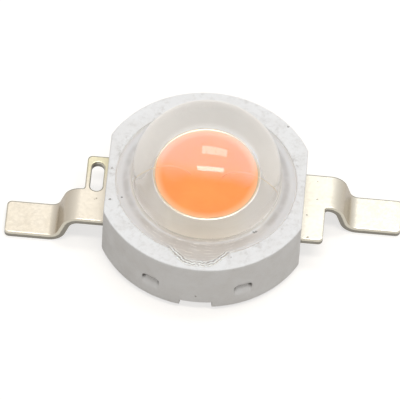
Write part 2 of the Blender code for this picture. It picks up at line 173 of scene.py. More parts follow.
def arc(centre, radius, start, end, steps):
    """Points (radius, height) on an arc: its centre plus its radius times each angle's cosine and sine."""
    angles = np.radians(np.linspace(start, end, steps + 1))
    return [(centre[0] + radius * np.cos(a), centre[1] + radius * np.sin(a)) for a in angles]


def quarter_round(radius, steps):
    """Two arrays down a rounded edge: the radius times one less the sine, and times one less the cosine."""
    angles = np.radians(np.linspace(0, 90, steps + 1))
    return radius * (1 - np.sin(angles)), radius * (1 - np.cos(angles))


# %% [markdown]
# The body's plan is a circle with two flats, so the distance from the axis to its edge is the smaller of the
# circle's radius and the flat's distance divided by the cosine of the angle. A softened minimum rounds the
# corner between them a little, as a mould does. The gate narrows to its tip, so it is found the same way
# from its slanted side and its end, and the recess with its gate is the softened larger of two distances.

# %% Plan curves
CORNER_SOFTNESS = 0.03
GATE_MOUTH_HALF, GATE_TIP_HALF = 1.12, 0.64
GATE_MOUTH_RADIUS = recess_radius - 0.3
GATE_END_SOFTNESS, GATE_MOUTH_SOFTNESS = 0.62, 0.2
FRONT, BACK = -90, 90
LEAST_COSINE = 0.1


def softened_min(a, b, softness):
    """The smaller of two arrays, where the corner between them is rounded over the softness."""
    share = np.clip(0.5 + (b - a) / (2 * softness), 0, 1)
    return b + (a - b) * share - softness * share * (1 - share)


def body_plan(theta, inset):
    """How far the body's side is from the axis: the softened minimum of the circle and the flat."""
    flat = (flat_x - inset) / np.maximum(np.abs(np.cos(theta)), LEAST_COSINE)
    return softened_min(body_radius - inset, flat, CORNER_SOFTNESS)


def gate_reach(theta, outset):
    """How far the gate's edge is from the axis along each angle.

    A line's distance along an angle is its distance from the axis divided by the cosine between the angle
    and the line's normal. The gate's is the softened minimum of its slanted side's and its end's.
    """
    sideways, forwards = np.abs(np.cos(theta)), -np.sin(theta)
    side = np.array([GATE_MOUTH_HALF - GATE_TIP_HALF, gate_tip - GATE_MOUTH_RADIUS])
    normal = np.array([side[1], side[0]]) / np.hypot(*side)
    side_distance = normal @ [GATE_TIP_HALF, gate_tip] + outset
    side_reach = side_distance / np.maximum(normal[0] * sideways + normal[1] * forwards, LEAST_COSINE)
    end_reach = (gate_tip + outset) / np.maximum(forwards, LEAST_COSINE)
    mouth_reach = (GATE_MOUTH_HALF + outset) / np.maximum(sideways, LEAST_COSINE)
    tongue_reach = softened_min(side_reach, end_reach, GATE_END_SOFTNESS)
    return np.where(forwards > 0, softened_min(tongue_reach, mouth_reach, GATE_MOUTH_SOFTNESS), 0)


def recess_plan(theta, outset):
    """How far the recess's wall is from the axis: the softened maximum of its circle and the gate."""
    circle = np.full_like(theta, recess_radius + outset)
    return -softened_min(-circle, -gate_reach(theta, outset), GATE_MOUTH_SOFTNESS)


def around(*fine_stretches, step=1.0):
    """Angles round the part in radians, finer in each stretch of (middle, half width, step) in degrees."""
    angles = [np.arange(-180, 180, step)]
    angles += [np.arange(middle - half, middle + half, fine) for middle, half, fine in fine_stretches]
    turned = (np.concatenate(angles) + 180) % 360 - 180
    return np.radians(np.unique(np.round(turned, 4)))


print(f"gate reaches {gate_reach(np.radians([FRONT * 1.0]), 0)[0]:.2f} mm to the front")

# %% [markdown]
# The mould left four small marks in the body's side, and there is a vent under its front edge. They could be
# cut with Booleans, but here they are a depth that is taken off the side's radius, which keeps the grid clean
# and lets their edges be slightly round, as on the real moulding.

# %% Shape of the body's marks
MARK_DEGREES = 25
MARK_MIDDLES = [side + turn for side in (FRONT, BACK) for turn in (-MARK_DEGREES, MARK_DEGREES)]
MARK_HALF_WIDTH = 0.33
MARK_TOP, MARK_BOTTOM = 1.31, 0.75
MARK_DEPTH, MARK_CORNER, MARK_LIP = 0.16, 0.14, 0.03
MARK_SHADE_INSIDE, MARK_SHADE_WIDTH, MARK_SHADE_STRENGTH = 0.03, 0.07, 1.6
VENT_HALF_WIDTH, VENT_TOP, VENT_DEPTH, VENT_LIP = 0.6, 0.5, 0.3, 0.02


def ramp(value, start, end):
    """0 before the start, 1 after the end, and a smooth S between them."""
    share = np.clip((value - start) / (end - start), 0, 1)
    return share * share * (3 - 2 * share)


def mark_distance(theta, height):
    """Signed distance to the nearest of the four mould marks, each with rounded corners, negative inside.

    It is the distance to a rectangle drawn in by the corner's radius, less that radius.
    """
    nearest = np.full(np.broadcast(theta, height).shape, np.inf)
    for middle in MARK_MIDDLES:
        turn = (theta - np.radians(middle) + np.pi) % (2 * np.pi) - np.pi
        across = np.abs(turn * body_radius) - (MARK_HALF_WIDTH - MARK_CORNER)
        above = height - (MARK_TOP - MARK_CORNER)
        outside = np.hypot(np.maximum(across, 0), np.maximum(above, 0))
        nearest = np.minimum(nearest, outside + np.minimum(np.maximum(across, above), 0) - MARK_CORNER)
    return nearest


def side_mark_depth(theta, height):
    """Depth of the marks: full under their upper edge, and tapering to nothing at their foot."""
    slope = np.clip((height - MARK_BOTTOM) / (MARK_TOP - MARK_BOTTOM), 0, 1)
    return MARK_DEPTH * slope * ramp(-mark_distance(theta, height), 0, MARK_LIP)


def painted_mark_shade(rings, theta):
    """Painted shade in the marks: most just inside their upper edge, fading over a few hundredths of a
    millimetre.
    """
    height = rings[..., 2]
    off_edge = np.abs(mark_distance(theta, height) + MARK_SHADE_INSIDE) / MARK_SHADE_WIDTH
    near_edge = np.clip(MARK_SHADE_STRENGTH * (1 - off_edge), 0, 1)
    on_side = np.hypot(rings[..., 0], rings[..., 1]) > recess_radius
    return near_edge * on_side * ramp(height, MARK_TOP - 2.5 * MARK_CORNER, MARK_TOP - MARK_CORNER)


def vent_depth(theta, height):
    """Depth of the vent under the front edge: full inside a rectangle, with a short ramp as its lip."""
    sideways = np.abs(body_radius * np.cos(theta))
    inside = ramp(VENT_HALF_WIDTH - sideways, 0, VENT_LIP) * (np.sin(theta) < 0)
    return VENT_DEPTH * inside * ramp(VENT_TOP - height, 0, VENT_LIP)


def side_station(theta, inset, height):
    """A station on the body's side, with the marks and the vent taken off its radius."""
    taken = side_mark_depth(theta, height) + vent_depth(theta, height)
    return body_plan(theta, inset + taken), height


print(f"mould marks at {MARK_MIDDLES} degrees")

# %% [markdown]
# The body is one moulding, so it is one closed skin: under the bottom, up the side, over the rim, down into
# the recess and the cavity, and back through the hole that the slug fills. That way is a list of stations.
# Its last part, from the recess on, is wetted by silicone, under which plastic looks different.

# %% Profile of the body
EDGE_ROUND, RECESS_EDGE_ROUND = 0.05, 0.04
RECESS_DEPTH, GATE_DEPTH = 0.25, 0.35
SEAT_WIDTH, CAVITY_TAPER = 0.55, 0.3
cavity_top_radius = recess_radius - SEAT_WIDTH
cavity_floor_radius = cavity_top_radius - CAVITY_TAPER
seat_z = body_top - RECESS_DEPTH
cavity_floor = lead_top - CLEARANCE
FLAT_CORNER_DEGREES = np.degrees(np.arccos(flat_x / body_radius))
GATE_STRETCH = 16
LIP_ROWS = np.linspace(-0.045, 0.03, 9)


def gate_floor(theta):
    """Height of the recess's floor at its wall: the gate is a little deeper than the seat."""
    return np.where(gate_reach(theta, 0) > recess_radius, body_top - GATE_DEPTH, seat_z)


def body_outside(theta):
    """Stations from the slug's hole, round the bottom edge, up the side and round the top edge."""
    heights = [np.linspace(body_bottom + EDGE_ROUND, body_top - EDGE_ROUND, 12)]
    heights += [np.linspace(MARK_BOTTOM, MARK_TOP, 7)]
    heights += [level + LIP_ROWS for level in (MARK_TOP, VENT_TOP)]
    heights = np.unique(np.round(np.concatenate(heights), 4))
    stations = [(slug_radius + CLEARANCE, body_bottom), side_station(theta, 2 * EDGE_ROUND, body_bottom)]
    for inset, rise in zip(*quarter_round(EDGE_ROUND, 4)):
        stations.append(side_station(theta, inset, body_bottom + rise))
    stations += [side_station(theta, 0, height) for height in heights[1:-1]]
    for below, inset in zip(*quarter_round(EDGE_ROUND, 5)):
        stations.append((body_plan(theta, inset), body_top - below))
    return stations


def body_rim(theta):
    """Stations over the flat rim and round the recess's edge."""
    outer, inner = body_plan(theta, 1.5 * EDGE_ROUND), recess_plan(theta, 1.5 * RECESS_EDGE_ROUND)
    stations = [(outer + (inner - outer) * share, body_top) for share in np.linspace(0, 1, 6)]
    for outset, below in zip(*quarter_round(RECESS_EDGE_ROUND, 5)):
        stations.append((recess_plan(theta, outset), body_top - below))
    return stations


def body_inside(theta):
    """Stations over the seat, down the cavity and through the hole that fits round the slug."""
    return [
        (recess_plan(theta, 0), gate_floor(theta)),
        (GATE_MOUTH_RADIUS, seat_z),
        (cavity_top_radius, seat_z),
        (cavity_floor_radius, cavity_floor),
        (CUP_OUTER_RADIUS + CLEARANCE, cavity_floor),
        (CUP_OUTER_RADIUS + CLEARANCE, SLUG_SHOULDER_TOP),
        (SLUG_SHOULDER_RADIUS, SLUG_SHOULDER_TOP),
        (SLUG_SHOULDER_RADIUS, SLUG_SHOULDER_BOTTOM),
        (SLUG_GROOVE_RADIUS, SLUG_SHOULDER_BOTTOM),
        (SLUG_GROOVE_RADIUS, SLUG_PAD_TOP),
        (slug_radius + CLEARANCE, SLUG_PAD_TOP),
    ]


# %% [markdown]
# The stations are now carried round the axis, with more angles where the plan turns sharply: at the marks, at
# the corners of the flats and at the gate.

# %% Skin of the body


def make_body():
    """The body's closed skin, which also knows where silicone wets it and where its marks get painted shade.
    """
    marks = [(middle, 6, 0.25) for middle in MARK_MIDDLES]
    flats = [(middle + side * FLAT_CORNER_DEGREES, 2.5, 0.2) for middle in (0, 180) for side in (-1, 1)]
    theta = around(*marks, *flats, (FRONT, GATE_STRETCH, 0.2))
    dry = body_outside(theta) + body_rim(theta)
    rings = carried_round(theta, dry + body_inside(theta))
    rows, columns = rings.shape[:2]
    obj = put_mesh("white_body", rings.reshape(-1, 3), [grid_quads(rows, columns, closed_rows=True)])
    put_attribute(obj, "wetted", np.repeat(np.arange(rows) >= len(dry), columns))
    put_attribute(obj, "painted_mark_shade", painted_mark_shade(rings, theta))
    return obj


body = make_body()

# %% [markdown]
# The slug is turned from copper and silver-plated. Its pad takes the heat down to the board, the groove
# under its shoulder locks it into the body, and the cup on top holds the chip and the phosphor. Only the
# cup's rim and outside show through the dome, and the pad shows from below.

# %% Slug
RIM_ROUND_OUTSIDE, RIM_ROUND_INSIDE = 0.045, 0.02
PAD_CHAMFER, PAD_FLAT_INSET = 0.06, 0.08


def make_slug():
    """The slug turned from its half section, with the cup's rim rounded on both edges."""
    stations = [
        (0, 0),
        (slug_radius - PAD_FLAT_INSET, 0),
        (slug_radius - PAD_CHAMFER, 0),
        (slug_radius, PAD_CHAMFER),
        (slug_radius, SLUG_PAD_TOP),
        (SLUG_GROOVE_RADIUS, SLUG_PAD_TOP),
        (SLUG_GROOVE_RADIUS, SLUG_SHOULDER_BOTTOM),
        (SLUG_SHOULDER_RADIUS - CLEARANCE, SLUG_SHOULDER_BOTTOM),
        (SLUG_SHOULDER_RADIUS - CLEARANCE, SLUG_SHOULDER_TOP - CLEARANCE),
        (CUP_OUTER_RADIUS, SLUG_SHOULDER_TOP - CLEARANCE),
    ]
    outside, inside = RIM_ROUND_OUTSIDE, RIM_ROUND_INSIDE
    stations += arc((CUP_OUTER_RADIUS - outside, cup_rim - outside), outside, 0, 90, 6)
    stations += arc((CUP_MOUTH_RADIUS + inside, cup_rim - inside), inside, 90, 180, 4)
    stations += [(CUP_FLOOR_RADIUS, cup_rim - CUP_DEPTH), (0, cup_rim - CUP_DEPTH)]
    return turned_piece("slug", around(step=1.5), stations)


slug = make_slug()

# %% [markdown]
# The phosphor is a yellow-to-red powder stirred into silicone and poured into the cup. It wets the rim and
# stands a hair higher in the middle, so its top is a very flat ball cap.

# %% Phosphor
PHOSPHOR_CROWN, PHOSPHOR_DROP = 0.04, 0.01
PHOSPHOR_DIP = 0.005


def make_phosphor():
    """The filling. Its top's height is the crown times one less the square of the radius over the cup's."""
    shares = np.linspace(1, 0, 16) * (1 + PHOSPHOR_DIP / CUP_MOUTH_RADIUS)
    top_z = cup_rim - PHOSPHOR_DROP + PHOSPHOR_CROWN * (1 - shares**2)
    floor = cup_rim - CUP_DEPTH + CLEARANCE
    stations = [(0, floor), (CUP_FLOOR_RADIUS - CLEARANCE, floor)]
    stations += [(CUP_MOUTH_RADIUS - PHOSPHOR_DIP, cup_rim - 3 * PHOSPHOR_DROP)]
    stations += zip(shares * CUP_MOUTH_RADIUS, top_z)
    return turned_piece("phosphor", around(step=2.0), stations)


phosphor = make_phosphor()

# %% [markdown]
# The dome, its flange and the tongue in the gate are one casting of clear silicone. Silicone wets what it is
# cast on, so there is no air under it: its skin dips a little into the body, the cup's rim and the phosphor,
# and light that has entered at the dome meets those surfaces without leaving the silicone first.

# %% Clear dome
DIP = 0.02
FLANGE_WIDTH, DOME_SKIRT_HEIGHT, DOME_FILLET = 0.6, 0.68, 0.15
MENISCUS, MENISCUS_WIDTH = 0.03, 0.15


def casting_underside(theta):
    """Stations under the cup's rim, down into the cavity, over the seat and up the recess's wall."""
    stations = [(r, cup_rim - DIP) for r in np.linspace(0, CUP_OUTER_RADIUS - DIP, 6)]
    return stations + [
        (CUP_OUTER_RADIUS - DIP, cavity_floor - DIP),
        (cavity_floor_radius + DIP, cavity_floor - DIP),
        (cavity_top_radius + DIP, seat_z - DIP),
        (GATE_MOUTH_RADIUS, seat_z - DIP),
        (recess_plan(theta, DIP), gate_floor(theta) - DIP),
        (recess_plan(theta, DIP), body_top - 2 * MENISCUS),
    ]


def casting_top(theta):
    """Stations of the flange, which sinks with the square of its share of the meniscus, and of the dome.

    The dome's cap is the dome's radius times a cosine, and its height over the skirt times a sine.
    """
    stations = []
    for inwards in np.linspace(0, MENISCUS_WIDTH, 6):
        sink = MENISCUS * (1 - inwards / MENISCUS_WIDTH) ** 2
        stations.append((recess_plan(theta, -inwards), body_top - sink))
    dome_radius = recess_radius - FLANGE_WIDTH
    fillet_r, fillet_z = dome_radius + DOME_FILLET, body_top + DOME_FILLET
    outer = recess_plan(theta, -MENISCUS_WIDTH)
    stations += [(outer + (fillet_r - outer) * share, body_top) for share in (0.35, 0.7)]
    stations += arc((fillet_r, fillet_z), DOME_FILLET, -90, -180, 10)
    skirt_top = body_top + DOME_SKIRT_HEIGHT
    stations += [(dome_radius, z) for z in np.linspace(fillet_z, skirt_top, 6)[1:-1]]
    for across, up in arc((0, 0), 1, 0, 90, 72)[:-1]:
        stations.append((dome_radius * across, skirt_top + (dome_top - skirt_top) * up))
    return stations + [(0, dome_top)]


def make_lens():
    """The casting, which also knows how far each of its points is from the recess's wall."""
    theta = around((FRONT, GATE_STRETCH, 0.25))
    dome = turned_piece("clear_dome", theta, casting_underside(theta) + casting_top(theta))
    x, y, _ = points_of(dome).T / MM
    put_attribute(dome, "from_wall", recess_plan(np.arctan2(y, x), 0) - np.hypot(x, y))
    return dome


lens = make_lens()

# %% [markdown]
# A bond wire is gold, thinner than a hair. A tool melts a ball on its end, presses that on the chip, pulls a
# loop over the cup's rim and stitches the other end to the lead. The tube below follows that loop.

# %% Bond wires
WIRE_RADIUS = 0.009
WIRE_START, WIRE_LANDING, WIRE_LOOP = 0.3, 0.1, 0.75
WIRE_STEPS, WIRE_SIDES = 48, 12


def make_wire(name, side):
    """A tube round a curve of four control points: their weights are the terms of (1 - t + t) cubed."""
    t = np.linspace(0, 1, WIRE_STEPS)[:, None]
    wire_low, wire_high = box_mm(name)
    pad_x = abs(wire_low[0]) if side < 0 else wire_high[0]
    loop_z = cup_rim + WIRE_LOOP
    controls = np.array(
        [
            [WIRE_START, 0, die_top],
            [WIRE_START, 0, loop_z],
            [pad_x - WIRE_RADIUS - WIRE_LANDING, 0, loop_z],
            [pad_x - WIRE_RADIUS, 0, lead_top + WIRE_RADIUS],
        ]
    )
    weights = np.hstack([(1 - t) ** 3, 3 * t * (1 - t) ** 2, 3 * t**2 * (1 - t), t**3])
    centre = weights @ controls
    along = np.gradient(centre, axis=0)
    along /= np.linalg.norm(along, axis=1, keepdims=True)
    across = np.stack([along[:, 2], np.zeros(len(t)), -along[:, 0]], axis=-1)
    angles = np.linspace(0, 2 * np.pi, WIRE_SIDES, endpoint=False)[None, :, None]
    ring = np.cos(angles) * across[:, None] + np.sin(angles) * np.array([0, 1, 0])
    rings = centre[:, None] + WIRE_RADIUS * ring
    half_turn = np.array([side, side, 1])
    return capped_grid(name + "_tube", rings * half_turn, centre[[0, -1]] * half_turn)


anode_wire = make_wire("anode_bond_wire", -1)
cathode_wire = make_wire("cathode_bond_wire", 1)

# %% [markdown]
# A lead is stamped from strip, bent down beside the body and bent level again on the board. Its blank is
# longer than the bent lead, and the bends say by how much: an arc is as long as its radius times its angle.

# %% Sizes of the leads
THICKNESS = 0.3
LEAD_EDGE_ROUND = 0.03
TAB_REACH, TAB_CORNER = 0.8, 0.18
STRIP_WIDTH = 1.4
CROTCH_RADIUS, TIP_CORNER = 0.1, 0.18
BEND_INSIDE_RADIUS, BEND_ANGLE = 0.35, np.radians(72)
SHOULDER_DEPTH, WAIST_LENGTH, WAIST_HALF, PAD_HALF = 0.4, 0.35, 1.0, 1.3
PAD_RADIUS = CUP_OUTER_RADIUS + 0.35
SLOT_WIDTH, SLOT_LENGTH, SLOT_TO_FLAT, SLOT_TO_EDGE = 0.46, 1.3, 0.16, 0.26
bend_start = flat_x + TAB_REACH + CROTCH_RADIUS
bend_radius = BEND_INSIDE_RADIUS + THICKNESS / 2
bend_arc = bend_radius * BEND_ANGLE
drop = lead_top - THICKNESS
bend_straight = (drop - 2 * bend_radius * (1 - np.cos(BEND_ANGLE))) / np.sin(BEND_ANGLE)
bend_run = 2 * bend_radius * np.sin(BEND_ANGLE) + bend_straight * np.cos(BEND_ANGLE)
flat_tip = lead_tip + 2 * bend_arc + bend_straight - bend_run
print(f"blank {flat_tip:.2f} mm long from the axis, {lead_tip:.2f} mm once bent")

# %% [markdown]
# A punch cuts the blank along its outline, and one lead gets a slot as well. Here too the outlines come
# first, with an arc at each round corner. Then a cut edge with rounded corners is carried along them.

# %% Outlines of the leads


def rounded_outline(corners, steps=8):
    """Points of a closed outline whose corners are (x, y, radius), each an arc that touches both sides."""
    points = []
    for i, (x, y, radius) in enumerate(corners):
        corner = np.array([x, y])
        before = np.array(corners[i - 1][:2]) - corner
        after = np.array(corners[(i + 1) % len(corners)][:2]) - corner
        before, after = before / np.linalg.norm(before), after / np.linalg.norm(after)
        half = np.arccos(np.clip(before @ after, -1, 1)) / 2
        middle = (before + after) / np.linalg.norm(before + after)
        centre = corner + middle * radius / np.sin(half)
        start, end = corner + before * radius / np.tan(half), corner + after * radius / np.tan(half)
        first, second = start - centre, end - centre
        turn = np.arctan2(first[0] * second[1] - first[1] * second[0], first @ second)
        a = np.linspace(0, turn, steps if radius > 0 else 1)[:, None]
        points.append(centre + np.cos(a) * first + np.sin(a) * np.array([-first[1], first[0]]))
    return np.concatenate(points)


def lead_outline():
    """The blank of the lead towards +X, counterclockwise."""
    shoulder = flat_x - SHOULDER_DEPTH
    pad_end = shoulder - WAIST_LENGTH
    strip_edge = tab_half - STRIP_WIDTH
    tab_edge = flat_x + TAB_REACH
    spread = np.arctan2(PAD_HALF, np.sqrt(PAD_RADIUS**2 - PAD_HALF**2))
    angles = np.linspace(spread, -spread, 24)
    return rounded_outline(
        [(PAD_RADIUS * np.cos(a), PAD_RADIUS * np.sin(a), 0) for a in angles]
        + [
            (pad_end, -PAD_HALF, 0),
            (pad_end, -WAIST_HALF, 0),
            (shoulder, -WAIST_HALF, 0),
            (shoulder, -tab_half, 0),
            (tab_edge, -tab_half, TAB_CORNER),
            (tab_edge, strip_edge, CROTCH_RADIUS),
            (flat_tip, strip_edge, TIP_CORNER),
            (flat_tip, tab_half, TIP_CORNER),
            (shoulder, tab_half, 0),
            (shoulder, WAIST_HALF, 0),
            (pad_end, WAIST_HALF, 0),
            (pad_end, PAD_HALF, 0),
        ]
    )


def slot_outline():
    """The slot along the body's flat in the lead that lies at +X, clockwise, so the metal is on its left."""
    low_x = flat_x + SLOT_TO_FLAT
    high_x = low_x + SLOT_WIDTH
    low_y = -(tab_half - SLOT_TO_EDGE)
    high_y = low_y + SLOT_LENGTH
    corners = [(low_x, low_y), (low_x, high_y), (high_x, high_y), (high_x, low_y)]
    return rounded_outline([(x, y, 0.49 * SLOT_WIDTH) for x, y in corners])


def drawn_in(outline, by):
    """The outline with each side moved by this much towards its left, which is into the metal."""
    along = np.roll(outline, -1, axis=0) - outline
    along /= np.linalg.norm(along, axis=1, keepdims=True)
    left = np.stack([-along[:, 1], along[:, 0]], axis=-1)
    before = np.roll(left, 1, axis=0)
    return outline + by * (left + before) / (1 + np.sum(left * before, axis=1, keepdims=True))


def edge_rings(outline):
    """Rings of points up the strip's cut edge, from its lower to its upper face, with both corners round."""
    half = THICKNESS / 2
    down, up = quarter_round(LEAD_EDGE_ROUND, 4)
    inwards = np.concatenate([[2 * LEAD_EDGE_ROUND], down, up, [2 * LEAD_EDGE_ROUND]])
    heights = np.concatenate([[-half], up - half, half - down, [half]])
    levels = zip(inwards, heights)
    return np.array([np.column_stack([drawn_in(outline, by), np.full(len(outline), z)]) for by, z in levels])


print(f"outlines of {len(lead_outline())} and {len(slot_outline())} points")

# %% [markdown]
# The flat faces are filled between the edges, and every point is then moved round the two bends, as a press
# would do. Three numbers stay with each point for the finish: the share of the strip's thickness at which it
# lies, because a sheared edge looks different from a plated face, how far round the bends it lies, which sets
# a painted shade there, and whether its edge looks dull.

# %% Leads
BEND_CUTS = 20


def bent(x, above):
    """X and Z of the flat strip's points once bent: an arc, a straight, an arc back, and level again."""
    past = x - bend_start
    first = np.clip(past, 0, bend_arc) / bend_radius
    second = np.clip(past - bend_arc - bend_straight, 0, bend_arc) / bend_radius
    slope = first - second
    down = np.clip(past - bend_arc, 0, bend_straight)
    level = np.maximum(past - 2 * bend_arc - bend_straight, 0)
    run = np.minimum(x, bend_start) + bend_radius * np.sin(first) + down * np.cos(BEND_ANGLE) + level
    run += bend_radius * (np.sin(BEND_ANGLE) - np.sin(BEND_ANGLE - second))
    fall = bend_radius * (1 - np.cos(first)) + down * np.sin(BEND_ANGLE)
    fall += bend_radius * (np.cos(BEND_ANGLE - second) - np.cos(BEND_ANGLE))
    return run + above * np.sin(slope), lead_top - THICKNESS / 2 - fall + above * np.cos(slope)


def fill_and_cut(obj):
    """Fills the strip's flat faces and cuts them across at the bends, with the mesh in millimetres."""
    bm = bmesh.new()
    bm.from_mesh(obj.data)
    bmesh.ops.scale(bm, vec=(1 / MM, 1 / MM, 1 / MM), verts=bm.verts)
    for upper in (False, True):
        rim = [edge for edge in bm.edges if edge.is_boundary and (edge.verts[0].co.z > 0) == upper]
        bmesh.ops.triangle_fill(bm, edges=rim, use_beauty=True)
    for start in (bend_start, bend_start + bend_arc + bend_straight):
        for cut in np.linspace(start, start + bend_arc, BEND_CUTS + 1):
            parts = bm.verts[:] + bm.edges[:] + bm.faces[:]
            bmesh.ops.bisect_plane(bm, geom=parts, dist=1e-6, plane_co=(cut, 0, 0), plane_no=(1, 0, 0))
    bmesh.ops.recalc_face_normals(bm, faces=bm.faces)
    bm.to_mesh(obj.data)
    bm.free()


def make_lead(name, side, with_slot):
    """One lead: its cut edges as grids, its flat faces filled between them, and all of it bent."""
    points, quads, dull, count = [], [], [], 0
    for outline in [lead_outline()] + ([slot_outline()] if with_slot else []):
        rings = edge_rings(outline)
        quads.append(grid_quads(*rings.shape[:2]) + count)
        points.append(rings.reshape(-1, 3))
        count += rings.shape[0] * rings.shape[1]
        outwards = side * (outline - drawn_in(outline, 1))[:, 1]
        on_edge = np.r_[0, np.ones(len(rings) - 2), 0]
        dull.append(np.outer(on_edge, ramp(outwards, -0.5, 0.5)).ravel())
    obj = put_mesh(name, np.concatenate(points), quads)
    put_attribute(obj, "edge_line", np.concatenate(dull))
    fill_and_cut(obj)

    flat = points_of(obj)
    put_attribute(obj, "through", flat[:, 2] / THICKNESS + 0.5)
    # Painted shade in the bends: a half sine over both bends, strongest on the slope between them.
    past = np.clip((flat[:, 0] - bend_start) / (2 * bend_arc + bend_straight), 0, 1)
    put_attribute(obj, "painted_bend_shade", np.sin(np.pi * past))
    x, z = bent(flat[:, 0], flat[:, 2])
    placed_points = np.column_stack([side * x, side * flat[:, 1], z]) * MM
    obj.data.vertices.foreach_set("co", placed_points.astype(np.float32).ravel())
    obj.data.shade_smooth()
    obj.data.set_sharp_from_angle(angle=np.radians(SHARP_DEGREES))
    obj.data.update()
    print(f"{name}: {len(obj.data.polygons)} faces once bent")
    return obj


anode = make_lead("anode_lead_bent", -1, with_slot=True)
cathode = make_lead("cathode_lead_bent", 1, with_slot=False)

# %% [markdown]
# Now the finishes. Colours are written as sRGB hex values, as they are picked from a picture, and one
# function turns them into the linear values that the renderer works in. Another one adds a node of any kind
# and links it, so that a finish reads from top to bottom as the steps that make it.

# %% Colours and nodes


def srgb(hex_colour):
    """Linear red, green and blue of a hex value, and an alpha of 1. Above a toe it is a power of 2.4."""
    parts = [int(hex_colour[i : i + 2], 16) / 255 for i in (1, 3, 5)]
    linear = [part / 12.92 if part <= 0.04045 else ((part + 0.055) / 1.055) ** 2.4 for part in parts]
    return (*linear, 1.0)


def add_node(tree, kind, inputs=(), **settings):
    """Adds a node and gives its outputs.

    The inputs come in their order, or in a dict by name or number. Each is linked to a socket, or set to a
    value or a hex colour.
    """
    node = tree.nodes.new("ShaderNode" + kind)
    for name, value in settings.items():
        setattr(node, name, value)
    for name, value in inputs.items() if isinstance(inputs, dict) else enumerate(inputs):
        if isinstance(value, bpy.types.NodeSocket):
            tree.links.new(value, node.inputs[name])
        else:
            node.inputs[name].default_value = srgb(value) if isinstance(value, str) else value
    return node.outputs


def new_material(name):
    """An empty material, its tree and the socket of its object coordinates in millimetres."""
    material = bpy.data.materials.new(name)
    material.use_nodes = True
    tree = material.node_tree
    tree.nodes.clear()
    metres = add_node(tree, "TexCoord")["Object"]
    place = add_node(tree, "Mapping", {"Vector": metres, "Scale": (1 / MM,) * 3})[0]
    return material, tree, place


def finished(material, shader):
    """The material, once its shader is linked to its output."""
    add_node(material.node_tree, "OutputMaterial", {"Surface": shader})
    print(f"{material.name}: {len(material.node_tree.nodes)} nodes")
    return material


# %% [markdown]
# Patterns are placed in object coordinates that are scaled to millimetres, so a texture's scale is one over a
# real size. Most of a finish is colours laid over one another through masks, and a mask is a product of
# factors, such as smooth steps in a place or a pattern.

# %% Patterns, masks and layers


def pattern(tree, place, kind, size, output="Fac", **inputs):
    """The socket of a texture of this kind, whose scale is one over the size of its features."""
    return add_node(tree, "Tex" + kind, {"Vector": place, "Scale": 1 / size, **inputs})[output]


def from_axis(tree, place):
    """The socket of the distance from the part's axis: the length of the place once its height is 0."""
    flat = add_node(tree, "VectorMath", [place, (1, 1, 0)], operation="MULTIPLY")[0]
    return add_node(tree, "VectorMath", [flat], operation="LENGTH")["Value"]


def off_line(tree, value, line=0.0):
    """The socket of how far a value is from a line, either way: the absolute of their difference."""
    difference = add_node(tree, "Math", [value, line], operation="SUBTRACT")[0]
    return add_node(tree, "Math", [difference], operation="ABSOLUTE")[0]


def mask(tree, *factors):
    """The socket of a product of factors.

    A factor is a number, a socket, or a tuple of a socket and two of its values, between which the factor
    goes from 0 to 1 along a smooth S. Two more numbers in the tuple take the place of 0 and 1.
    """
    product = None
    for factor in factors:
        if isinstance(factor, tuple):
            factor = add_node(tree, "MapRange", factor, interpolation_type="SMOOTHSTEP")[0]
        if product is not None:
            factor = add_node(tree, "Math", [product, factor], operation="MULTIPLY")[0]
        product = factor
    return product


def layered(tree, colour, *layers):
    """The socket of a colour with others laid over it. A layer is a colour and the factors of its mask.

    Inputs 6 and 7 of a Mix node are its two colours, and output 2 is the mixed one.
    """
    for over, *factors in layers:
        inputs = {0: mask(tree, *factors), 6: colour, 7: over}
        colour = add_node(tree, "Mix", inputs, data_type="RGBA")[2]
    return colour


RAGGED_WIDTH, RAGGED_SHIFT, SOLID_SHARE = 0.09, 0.12, 0.4


def spots(tree, place, marks):
    """The socket of a mask that is 1 inside small marks, each x, y, z and a radius in millimetres.

    The place is made ragged by a noise, less a half and times a shift. The strongest mark counts.
    """
    shift = pattern(tree, place, "Noise", RAGGED_WIDTH, output="Color")
    centred = add_node(tree, "VectorMath", [shift, (0.5, 0.5, 0.5)], operation="SUBTRACT")[0]
    moved = add_node(tree, "VectorMath", {0: centred, "Scale": RAGGED_SHIFT}, operation="SCALE")[0]
    ragged = add_node(tree, "VectorMath", [place, moved], operation="ADD")[0]
    spotted = 0.0
    for *centre, radius in marks:
        away = add_node(tree, "VectorMath", [ragged, centre], operation="DISTANCE")["Value"]
        inputs = [mask(tree, (away, radius, SOLID_SHARE * radius)), spotted]
        spotted = add_node(tree, "Math", inputs, operation="MAXIMUM")[0]
    return spotted


# %% [markdown]
# The body is white PPA, a nylon filled with titanium dioxide, moulded with a satin skin. To the eye it is a
# flat white that is very slightly mottled, with shallow dents and scuffs on the rim and a few dark specks of
# dirt. Painted shade lies under the upper edges of the mould marks. Where silicone wets it, it is a little
# darker, with painted light and shade over that: warm in front, grey behind, palest on both sides of the cup,
# and faintly shaded round the cup.

# %% White PPA
BODY_SPECKS = [
    (-3.4, -1.2, 2.5, 0.06),
    (-3.45, 0.2, 2.5, 0.05),
    (2.79, 2.75, 2.5, 0.06),
    (1.15, -3.3, 2.5, 0.04),
    (1.35, -3.55, 0.95, 0.06),
    (1.5, -3.55, 0.8, 0.07),
    (0.0, -4.0, 0.85, 0.06),
]
SCUFFED_WIDTH = 0.5


